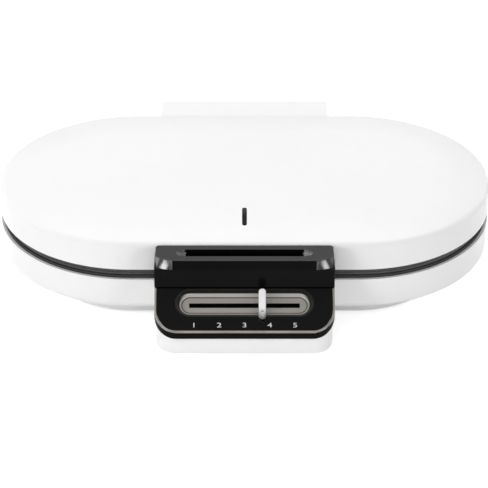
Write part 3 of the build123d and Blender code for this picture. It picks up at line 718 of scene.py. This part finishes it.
class Surface(Enum):
    """Every finish of the waffle maker."""

    WHITE = Finish(
        "White housing", (0.875, 0.88, 0.875), (0.862, 0.866, 0.862), roughness=0.36, spread=0.03, dust=0.02,
        grain_depth=0.25, specular=0.2,
    )
    HANDLE = Finish(
        "Black handle", (0.006, 0.006, 0.0065), (0.008, 0.008, 0.0085), roughness=0.2,
        wear_colour=(0.02, 0.02, 0.02), wear_start=0.6,
    )
    GLOSS = Finish(
        "Black panel", (0.003, 0.003, 0.003), (0.004, 0.004, 0.0045), roughness=0.12, spread=0.03,
        grain_depth=0.1, specular=0.4,
    )
    SCALE = Finish(
        "Grey scale", (0.38, 0.357, 0.33), (0.345, 0.328, 0.3), roughness=0.42, drift_scale=24.0,
        grain_scale=2200.0,
    )
    # Painted light and shade: the wall's grey is lighter than the plate's, and its ends, lower wall and foot
    # are painted dark.
    DISH = ShadedDish(
        "Shaded dish", (0.48, 0.452, 0.418), (0.44, 0.415, 0.382), roughness=0.3, drift_scale=24.0,
        grain_scale=2200.0,
    )
    # Shaded copy of the black plastic, darker and with its reflection cut down, for front-facing faces and
    # upright sides.
    APRON = Finish(
        "Black apron", (0.0025, 0.0025, 0.0025), (0.0035, 0.0035, 0.0035), roughness=0.12, spread=0.03,
        grain_depth=0.1, specular=0.05,
    )
    # Lit copy of the black handle plastic, paler and glossier, for a painted highlight on the block's front
    # corners.
    POLISH = Finish(
        "Lit corner copy", (0.01, 0.01, 0.0105), (0.013, 0.013, 0.0135), roughness=0.2, spread=0.02,
        grain_depth=0.1, specular=1.0, coat=1.0, coat_roughness=0.15,
    )
    # Painted highlight: pale grey on the black groove ends stands in for the lights' reflection on them.
    GROOVE_END = Finish(
        "Painted highlight groove end", (0.3, 0.295, 0.29), (0.13, 0.128, 0.125), roughness=0.2, drift_scale=260.0,
        grain_depth=0.1, specular=1.0,
    )
    # Painted highlight: warm grey on the black panel's bevel stands in for the lights' reflection along its
    # edge.
    BEVEL = Finish(
        "Painted highlight bevel", (0.26, 0.235, 0.21), (0.2, 0.18, 0.16), roughness=0.25, drift_scale=70.0,
        grain_depth=0.2, specular=0.9, coat=0.6, coat_roughness=0.12,
    )
    SHADE = Finish("Inner black", (0.002, 0.002, 0.002), (0.003, 0.003, 0.003), roughness=0.6, specular=0.08)
    LEVER_END = Finish(
        "Clear lever end", (0.5, 0.5, 0.5), (0.3, 0.3, 0.3), roughness=0.18, drift_scale=700.0,
        grain_depth=0.1, specular=0.6, transmission=0.3,
    )
    LEVER = FadedLever(
        "Milky lever", (0.93, 0.935, 0.93), (0.9, 0.905, 0.9), roughness=0.22, drift_scale=160.0,
        grain_depth=0.1, transmission=0.1, subsurface=0.15,
    )
    FRAME = Finish(
        "Heat-proof frame", (0.016, 0.016, 0.017), (0.024, 0.024, 0.025), roughness=0.5, spread=0.08,
        grain_scale=1100.0, grain_depth=0.9, wear_colour=(0.06, 0.06, 0.06), wear_start=0.6, dust=0.03,
    )
    COATING = SpeckledCoating(
        "Release coating", (0.03, 0.03, 0.032), (0.045, 0.044, 0.045), roughness=0.42, spread=0.1,
        grain_scale=700.0, grain_depth=1.0, bump_distance=0.05 * MM, wear_colour=(0.16, 0.155, 0.15),
        wear_start=0.6, specular=0.6,
    )
    STEEL = BrushedMetal(
        "Zinc plated steel", (0.6, 0.6, 0.58), (0.42, 0.42, 0.41), roughness=0.32, metallic=1.0,
        anisotropy=0.4,
    )
    ELEMENT = Finish(
        "Heater tube", (0.3, 0.28, 0.26), (0.2, 0.15, 0.12), roughness=0.4, drift_scale=35.0, spread=0.12,
        grain_depth=0.5, metallic=1.0,
    )
    SHIELD = SpangledSheet(
        "Aluminised shield", (0.7, 0.71, 0.71), (0.55, 0.56, 0.57), roughness=0.3, spread=0.1, metallic=1.0,
    )
    RUBBER = Finish(
        "Rubber", (0.028, 0.028, 0.029), (0.04, 0.04, 0.04), roughness=0.75, spread=0.08,
        grain_scale=1800.0, grain_depth=1.0, dust=0.08,
    )
    UNDERSIDE = Finish(
        "Underside plastic", (0.13, 0.13, 0.135), (0.15, 0.15, 0.152), roughness=0.55, grain_scale=900.0,
        grain_depth=1.0, bump_distance=0.05 * MM, dust=0.05,
    )
    BOARD = CircuitLaminate(
        "Circuit laminate", (0.03, 0.16, 0.06), (0.03, 0.16, 0.06), roughness=0.3, coat=0.3,
    )
    COMPONENT = Finish(
        "Component case", (0.03, 0.03, 0.035), (0.04, 0.04, 0.045), roughness=0.4, drift_scale=60.0,
    )
    TERMINAL = Finish(
        "Terminal block", (0.75, 0.73, 0.66), (0.7, 0.68, 0.6), roughness=0.45, drift_scale=60.0,
    )
    LENS = Finish(
        "Smoked lens", (0.022, 0.022, 0.024), (0.015, 0.015, 0.016), roughness=0.1, drift_scale=120.0,
        grain_depth=0.05, specular=0.3,
    )
    LAMP = Finish(
        "Lamp glass", (0.95, 0.75, 0.65), (0.9, 0.7, 0.6), roughness=0.05, grain_depth=0.02,
        transmission=0.9,
    )
    PRINT = Finish(
        "Scale print", (0.78, 0.78, 0.77), (0.7, 0.7, 0.69), roughness=0.45, drift_scale=300.0,
    )


Materials = dict[Surface, bpy.types.Material]


def dress(names: Iterable[str], material: bpy.types.Material) -> None:
    """Give CAD nodes a finish and report each.

    Args:
        names: The nodes.
        material: Their finish.
    """
    for name in names:
        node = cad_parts[name]
        node.data.materials.clear()
        node.data.materials.append(material)
        LOG.info("dressed %s as %s", name, material.name)


def dress_faces(name: str, material: bpy.types.Material, chosen: FaceRule) -> None:
    """Give some faces of a CAD node another finish.

    Args:
        name: The node.
        material: The other finish.
        chosen: Tells from a face's normal and its middle whether it takes the other finish.
    """
    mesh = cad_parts[name].data
    mesh.materials.append(material)
    last = len(mesh.materials) - 1
    for face in mesh.polygons:
        if chosen(face.normal, face.center):
            face.material_index = last
    LOG.info("dressed faces of %s as %s", name, material.name)


def place_mesh(name: str, mesh: bpy.types.Mesh, material: bpy.types.Material) -> bpy.types.Object:
    """Put a mesh in the scene as an object with one finish.

    Args:
        name: The object's name.
        mesh: Its finished mesh.
        material: Its finish.

    Returns:
        The new object.
    """
    mesh.materials.clear()
    mesh.materials.append(material)
    piece = bpy.data.objects.new(name, mesh)
    bpy.context.scene.collection.objects.link(piece)
    return piece


@dataclass
class Housing:
    """White shells of lid, base and hinge cover, with the lens in the lid."""

    shells: tuple[str, ...] = ("lid_shell", "base_shell", "hinge_cover")

    def build(self, materials: Materials) -> None:
        """Dress the shells and the lens."""
        dress(self.shells, materials[Surface.WHITE])
        dress(["indicator_lens"], materials[Surface.LENS])


@dataclass
class Handle:
    """Black handle on the lid's front, with a shaded copy of its plastic on its front faces and painted
    highlights on its corners and groove ends.

    The facing, turn, low and high limits are parts of a face's normal, and tell which faces are meant.
    """

    groove_half: float = 47.8 * MM
    groove_tip: float = 55.6 * MM
    front_facing: float = 0.9
    corner_facing: float = 0.3
    corner_turn: float = 0.02
    corner_low: float = -0.2
    corner_high: float = 0.6
    groove_turn: float = 0.1
    groove_low: float = -0.2

    def build(self, materials: Materials) -> None:
        """Dress the handle's two pieces.

        Args:
            materials: The built finishes.
        """
        dress(["lid_handle"], materials[Surface.HANDLE])
        # The block's flat front takes the shaded copy.
        dress_faces("lid_handle", materials[Surface.APRON], self.in_front)
        # The corners take the lit copy, a painted highlight.
        dress_faces("lid_handle", materials[Surface.POLISH], self.on_corner)
        # The groove's round ends take the painted highlight.
        dress_faces("lid_handle", materials[Surface.GROOVE_END], self.in_groove_end)
        # The apron takes the shaded copy too.
        dress(["handle_apron"], materials[Surface.APRON])

    def in_front(self, normal: Vector, _middle: Vector) -> bool:
        """Whether a face belongs to the block's flat front."""
        return normal.y < -self.front_facing and abs(normal.x) < self.corner_turn

    def on_corner(self, normal: Vector, _middle: Vector) -> bool:
        """Whether a face belongs to one of the block's two leaning front corners."""
        turned = normal.y < -self.corner_facing and abs(normal.x) > self.corner_turn
        return turned and self.corner_low < normal.z < self.corner_high

    def in_groove_end(self, normal: Vector, middle: Vector) -> bool:
        """Whether a face belongs to a round end of the finger groove."""
        turned = abs(normal.x) > self.groove_turn and normal.z > self.groove_low
        return turned and self.groove_half < abs(middle.x) < self.groove_tip


@dataclass
class ControlPanel:
    """Black panel with its grey scale, printed numbers and slider.

    The rise and facing limits are parts of a face's normal, and tell which faces are meant.
    """

    where: SlopePlace = SlopePlace()
    number_row: float = 32.6 * MM
    number_pitch: float = 20.4 * MM
    number_height: float = 4.2 * MM
    digit_share: float = 0.72
    print_thickness: float = 0.05 * MM
    print_thinning: float = 0.04 * MM
    print_width: float = 1.42
    numbers: int = 5
    number_body: str = "base"
    number_slot: str = "lever_plastic"
    side_rise: float = 0.15
    bevel_rise: float = 0.8
    lever_facing: float = 0.62

    def build(self, materials: Materials) -> None:
        """Dress the panel's nodes and print its numbers.

        Args:
            materials: The built finishes.
        """
        dress(["control_panel"], materials[Surface.GLOSS])
        # The panel's upright sides take the shaded copy.
        dress_faces("control_panel", materials[Surface.APRON], self.on_side)
        # The bevel faces take the painted highlight.
        dress_faces("control_panel", materials[Surface.BEVEL], self.on_bevel)
        # The dish carries painted light on its grey and painted shade at its ends, lower wall and foot.
        dress(["scale_dish"], materials[Surface.DISH])
        dress(["scale_plate"], materials[Surface.SCALE])
        dress(["slider_lever"], materials[Surface.LEVER])
        dress_faces("slider_lever", materials[Surface.LEVER_END], self.on_lever_end)
        dress(["slider_carriage", "slide_resistor"], materials[Surface.SHADE])
        self.print_numbers(materials[Surface.PRINT])

    def on_side(self, normal: Vector, _middle: Vector) -> bool:
        """Whether a face belongs to the panel's upright sides."""
        return abs(normal.z) < self.side_rise

    def on_bevel(self, normal: Vector, _middle: Vector) -> bool:
        """Whether a face belongs to the bevel between the slope and the sides."""
        return self.side_rise < normal.z < self.bevel_rise

    def on_lever_end(self, normal: Vector, _middle: Vector) -> bool:
        """Whether a face belongs to the lever's front end."""
        return normal.y < -self.lever_facing

    def slope_matrix(self) -> Matrix:
        """Frame on the slope's upper edge: X to the right, Y up the slope, Z out of it."""
        return Matrix.Translation(self.where.upper_edge) @ Matrix.Rotation(self.where.slope, 4, "X")

    def number_mesh(self, number: int) -> bpy.types.Mesh:
        """Make a printed number as a thin mesh round its own middle.

        Args:
            number: The number to show.

        Returns:
            The mesh.
        """
        curve = bpy.data.curves.new(f"scale_number_{number}", "FONT")
        curve.body = str(number)
        curve.size = self.number_height / self.digit_share
        curve.align_x = "CENTER"
        curve.align_y = "CENTER"
        curve.extrude = self.print_thickness
        curve.offset = -self.print_thinning
        text = bpy.data.objects.new(curve.name, curve)
        bpy.context.scene.collection.objects.link(text)
        mesh = bpy.data.meshes.new_from_object(text)
        bpy.data.objects.remove(text)
        return mesh

    def print_numbers(self, ink: bpy.types.Material) -> None:
        """Lay the plain numbers on the slope, one piece each.

        Args:
            ink: Their finish.
        """
        widening = Matrix.Scale(self.print_width, 4, (1, 0, 0))
        for number in range(1, self.numbers + 1):
            mesh = self.number_mesh(number)
            across = (number - (self.numbers + 1) / 2) * self.number_pitch
            place = Matrix.Translation((across, -self.number_row, 0.0))
            mesh.transform(self.slope_matrix() @ place @ widening)
            piece = place_mesh(f"scale_number_{number}", mesh, ink)
            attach(piece, self.number_body)
            LOG.info("built %s on the %s", piece.name, self.number_body)


@dataclass
class CookingHalves:
    """Cast plates, frames, heater tubes and shields of both halves."""

    sides: tuple[str, ...] = ("upper", "lower")

    def build(self, materials: Materials) -> None:
        """Dress both halves.

        Args:
            materials: The built finishes.
        """
        dress([f"{side}_waffle_plate" for side in self.sides], materials[Surface.COATING])
        dress([f"{side}_frame" for side in self.sides], materials[Surface.FRAME])
        dress([f"{side}_heating_element" for side in self.sides], materials[Surface.ELEMENT])
        dress([f"{side}_heat_shield" for side in self.sides], materials[Surface.SHIELD])


@dataclass
class Metalwork:
    """Steel of the hinge and the sensor, and the screws."""

    steel: tuple[str, ...] = ("hinge_bracket_left", "hinge_bracket_right", "hinge_pin", "temperature_sensor")

    def build(self, materials: Materials) -> None:
        """Dress the steel pieces and every group of screws."""
        screws = sorted(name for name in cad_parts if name.endswith("_screws"))
        dress([*self.steel, *screws], materials[Surface.STEEL])


@dataclass
class Underside:
    """Underside cover, rubber feet and the cord gland."""

    rubber: tuple[str, ...] = ("rubber_feet", "cord_gland")

    def build(self, materials: Materials) -> None:
        """Dress the underside."""
        dress(["base_cover"], materials[Surface.UNDERSIDE])
        dress(self.rubber, materials[Surface.RUBBER])


@dataclass
class Electrics:
    """Circuit board, the parts wired to it and the lamp."""

    cases: tuple[str, ...] = ("power_relay", "smoothing_capacitor", "thermal_fuse")

    def build(self, materials: Materials) -> None:
        """Dress the electrical parts.

        Args:
            materials: The built finishes.
        """
        dress(["control_board"], materials[Surface.BOARD])
        dress(self.cases, materials[Surface.COMPONENT])
        dress(["terminal_block"], materials[Surface.TERMINAL])
        dress(["indicator_lamp"], materials[Surface.LAMP])
        dress(["lamp_holder"], materials[Surface.FRAME])


@dataclass(frozen=True)
class SoftLight:
    """A soft light, its place and its width and height in metres; a brightness of 1 looks white."""

    name: str
    place: Place
    size: tuple[float, float]
    brightness: float

    def hang(self, target: Place) -> None:
        """Hang the light.

        Args:
            target: The point that it looks at, in metres.
        """
        data = bpy.data.lights.new(self.name, "AREA")
        data.shape = "RECTANGLE"
        width, height = self.size
        data.size = width
        data.size_y = height
        data.energy = self.brightness * math.pi * width * height
        light = bpy.data.objects.new(self.name, data)
        light.location = self.place
        aim = Vector(target) - Vector(self.place)
        light.rotation_euler = aim.to_track_quat("-Z", "Y").to_euler()
        bpy.context.scene.collection.objects.link(light)


@dataclass
class Studio:
    """Pale floor, soft lights, world and the camera of the photograph.

    Places and sizes are in metres, the pitch in radians, and the lens and its sensor in millimetres.
    """

    pitch: float = math.radians(30.306)
    lens: float = 170.5
    sensor: float = 36.0
    camera_place: Place = (-0.0004, -1.7348, 1.0429)
    view_depth: float = 50.0
    floor_size: float = 12.0
    floor_colour: Colour = (0.9, 0.9, 0.9)
    floor_drift: float = 0.99
    floor_patches: float = 6.0
    floor_detail: float = 2.0
    floor_glow: float = 0.6
    far_start: float = 0.9
    far_end: float = 3.0
    world_colour: Colour = (1.0, 1.0, 1.0)
    world_strength: float = 0.16
    backdrop_strength: float = 1.0
    target: Place = (0.0, -0.05, 0.05)
    lights: tuple[SoftLight, ...] = (
        SoftLight("Top front", (-0.25, -1.15, 1.95), (1.5, 0.9), 1.7),
        SoftLight("Top back", (0.0, 0.75, 1.95), (1.9, 1.0), 4.3),
        SoftLight("Back", (0.0, 2.6, 1.45), (3.6, 1.1), 0.62),
        SoftLight("Front", (0.0, -2.5, 1.2), (1.8, 0.38), 4.5),
        SoftLight("Left", (-2.1, -0.1, 0.62), (2.0, 0.7), 2.0),
        SoftLight("Right", (2.1, -0.1, 0.55), (1.8, 0.6), 0.8),
        SoftLight("Left back", (-1.6, 1.3, 0.8), (1.2, 0.8), 2.0),
        SoftLight("Right back", (1.6, 1.3, 0.8), (1.2, 0.8), 2.4),
        SoftLight("Left front high", (-1.5, -1.3, 1.55), (1.0, 0.6), 1.2),
        SoftLight("Right front high", (1.5, -1.3, 1.55), (1.0, 0.6), 0.9),
        SoftLight("Left front", (-1.4, -1.8, 0.54), (0.85, 0.5), 7.4),
        SoftLight("Right front", (1.5, -1.75, 0.54), (0.7, 0.5), 5.6),
    )

    def build(self) -> None:
        """Make floor, world, lights and camera, and show the colours as they are."""
        self.make_floor()
        self.make_world()
        for light in self.lights:
            light.hang(self.target)
        self.make_camera()
        bpy.context.scene.view_settings.view_transform = "Standard"

    def make_floor(self) -> None:
        """Lay a large plain floor that keeps the shadow."""
        shape = bmesh.new()
        bmesh.ops.create_grid(shape, x_segments=1, y_segments=1, size=self.floor_size / 2)
        mesh = bpy.data.meshes.new("Floor")
        shape.to_mesh(mesh)
        shape.free()
        floor = place_mesh("Floor", mesh, self.floor_material())

    def floor_material(self) -> bpy.types.Material:
        """Pale grey that also glows where it is seen, up to white far off.

        Returns:
            The floor's finish.
        """
        material = bpy.data.materials.new("Pale floor")
        material.use_nodes = True
        material.node_tree.nodes.clear()
        tree = ShaderTree(material.node_tree)
        patches = tree.noise(self.floor_patches, self.floor_detail, tree.place())
        second = tuple(self.floor_drift * part for part in self.floor_colour)
        diffuse = tree.add("ShaderNodeBsdfDiffuse")
        tree.join(tree.blend(patches, self.floor_colour, second), diffuse.inputs["Color"])
        path = tree.add("ShaderNodeLightPath")
        seen = path.outputs["Is Camera Ray"]
        for label in ("Is Glossy Ray", "Is Transmission Ray"):
            seen = tree.maths("MAXIMUM", seen, path.outputs[label])
        away = tree.add("ShaderNodeVectorMath", operation="LENGTH")
        tree.join(tree.place(), away.inputs[0])
        farness = tree.ramp(away.outputs["Value"], self.far_start, self.far_end)
        added = tree.maths("MULTIPLY", farness, 1.0 - self.floor_glow)
        shine = tree.maths("ADD", added, self.floor_glow)
        glow = tree.add("ShaderNodeEmission")
        tree.join(tree.maths("MULTIPLY", seen, shine), glow.inputs["Strength"])
        both = tree.add("ShaderNodeAddShader")
        tree.join(diffuse.outputs[0], both.inputs[0])
        tree.join(glow.outputs[0], both.inputs[1])
        output = tree.add("ShaderNodeOutputMaterial")
        tree.join(both.outputs[0], output.inputs["Surface"])
        return material

    def make_world(self) -> None:
        """Make the world white to the camera and a plain grey light elsewhere."""
        world = bpy.data.worlds.new("Studio world")
        world.use_nodes = True
        world.node_tree.nodes.clear()
        tree = ShaderTree(world.node_tree)
        choose = tree.add("ShaderNodeMixShader")
        tree.join(tree.add("ShaderNodeLightPath").outputs["Is Camera Ray"], choose.inputs["Fac"])
        for index, strength in enumerate((self.world_strength, self.backdrop_strength), start=1):
            sky = tree.add("ShaderNodeBackground")
            tree.feed(sky.inputs["Color"], self.world_colour)
            tree.feed(sky.inputs["Strength"], strength)
            tree.join(sky.outputs[0], choose.inputs[index])
        output = tree.add("ShaderNodeOutputWorld")
        tree.join(choose.outputs[0], output.inputs["Surface"])
        bpy.context.scene.world = world

    def make_camera(self) -> None:
        """Set the camera where the photograph was taken from."""
        data = bpy.data.cameras.new("Camera")
        data.lens = self.lens
        data.sensor_width = self.sensor
        data.clip_end = self.view_depth
        camera = bpy.data.objects.new("Camera", data)
        camera.location = self.camera_place
        camera.rotation_euler = (math.pi / 2 - self.pitch, 0.0, 0.0)
        bpy.context.scene.collection.objects.link(camera)
        bpy.context.scene.camera = camera


def main() -> None:
    """Build the finishes, the sub-assemblies and the studio, in that order."""
    logging.basicConfig(level=logging.INFO, format="%(message)s")
    effects = Effects()
    materials = {surface: surface.value.build(effects) for surface in Surface}
    for assembly in (Housing, Handle, ControlPanel, CookingHalves, Metalwork, Underside, Electrics):
        assembly().build(materials)
        LOG.info("finished %s", assembly.__name__)
    Studio().build()


if __name__ == "__main__":
    main()
